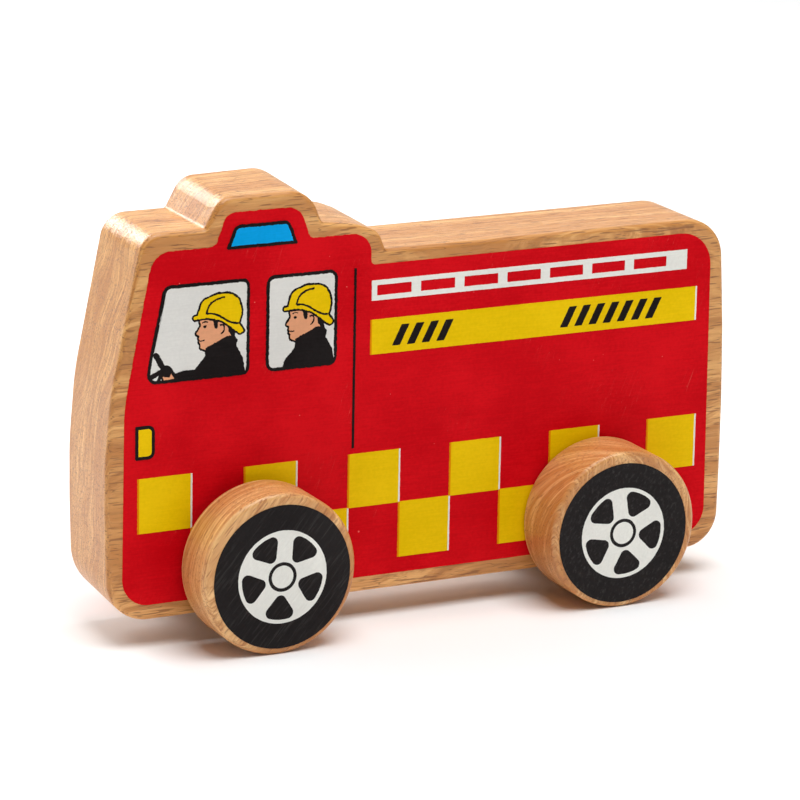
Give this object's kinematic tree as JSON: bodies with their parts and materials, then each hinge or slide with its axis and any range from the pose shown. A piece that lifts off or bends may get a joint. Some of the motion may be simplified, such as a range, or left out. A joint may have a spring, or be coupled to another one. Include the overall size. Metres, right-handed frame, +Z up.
{
  "type": "toy fire engine",
  "caption": "Wooden push-along toy fire engine: a sawn board body with printed sides, rolling on printed wooden wheels fixed to dowel axles.",
  "frame": {"origin": "on the floor under the middle of the toy: mid length, mid width, at the bottom of the wheels", "axes": "+X from the nose to the tail, +Y to the vehicle's right-hand side, +Z up"},
  "size_m": [0.1644, 0.0566, 0.1072],
  "materials": {
    "body_wood": "clear satin varnish on pale hardwood, fine straight grain along the length",
    "wheel_wood": "clear satin varnish on turned pale hardwood",
    "dowel_wood": "plain sanded dowel",
    "red_ink": "screen-printed red ink, satin",
    "white_ink": "screen-printed white ink, satin",
    "pane_ink": "screen-printed pale grey ink, satin",
    "yellow_ink": "screen-printed yellow ink, satin",
    "blue_ink": "screen-printed blue ink, satin",
    "skin_ink": "screen-printed skin-tone ink, satin",
    "black_ink": "screen-printed black ink, satin"
  },
  "bodies": {
    "body": {"body_block": "body_wood", "left_beacon_lamp": "blue_ink", "left_checks": "yellow_ink", "left_crew_helmets": "yellow_ink", "left_crew_jackets": "black_ink", "left_crew_outlines": "black_ink", "left_crew_skin": "skin_ink", "left_hazard_bars": "black_ink", "left_headlight": "yellow_ink", "left_ladder": "white_ink", "left_red_ground": "red_ink", "left_stripe": "yellow_ink", "left_white_underlay": "white_ink", "left_window_and_lamp_outlines": "black_ink", "left_window_panes": "pane_ink", "right_beacon_lamp": "blue_ink", "right_checks": "yellow_ink", "right_crew_helmets": "yellow_ink", "right_crew_jackets": "black_ink", "right_crew_outlines": "black_ink", "right_crew_skin": "skin_ink", "right_hazard_bars": "black_ink", "right_headlight": "yellow_ink", "right_ladder": "white_ink", "right_red_ground": "red_ink", "right_stripe": "yellow_ink", "right_white_underlay": "white_ink", "right_window_and_lamp_outlines": "black_ink", "right_window_panes": "pane_ink"},
    "front_wheelset": {"front_axle": "dowel_wood", "front_left_hub_print": "white_ink", "front_left_tyre_print": "black_ink", "front_left_wheel": "wheel_wood", "front_right_hub_print": "white_ink", "front_right_tyre_print": "black_ink", "front_right_wheel": "wheel_wood"},
    "rear_wheelset": {"rear_axle": "dowel_wood", "rear_left_hub_print": "white_ink", "rear_left_tyre_print": "black_ink", "rear_left_wheel": "wheel_wood", "rear_right_hub_print": "white_ink", "rear_right_tyre_print": "black_ink", "rear_right_wheel": "wheel_wood"}
  },
  "joints": [
    {"name": "front_axle_spin", "type": "hinge", "parent": "body", "child": "front_wheelset", "pos_m": [-0.0451, 0, 0.0195], "axis": [0, 1, 0], "continuous": true},
    {"name": "rear_axle_spin", "type": "hinge", "parent": "body", "child": "rear_wheelset", "pos_m": [0.0462, 0, 0.0195], "axis": [0, 1, 0], "continuous": true}
  ]
}
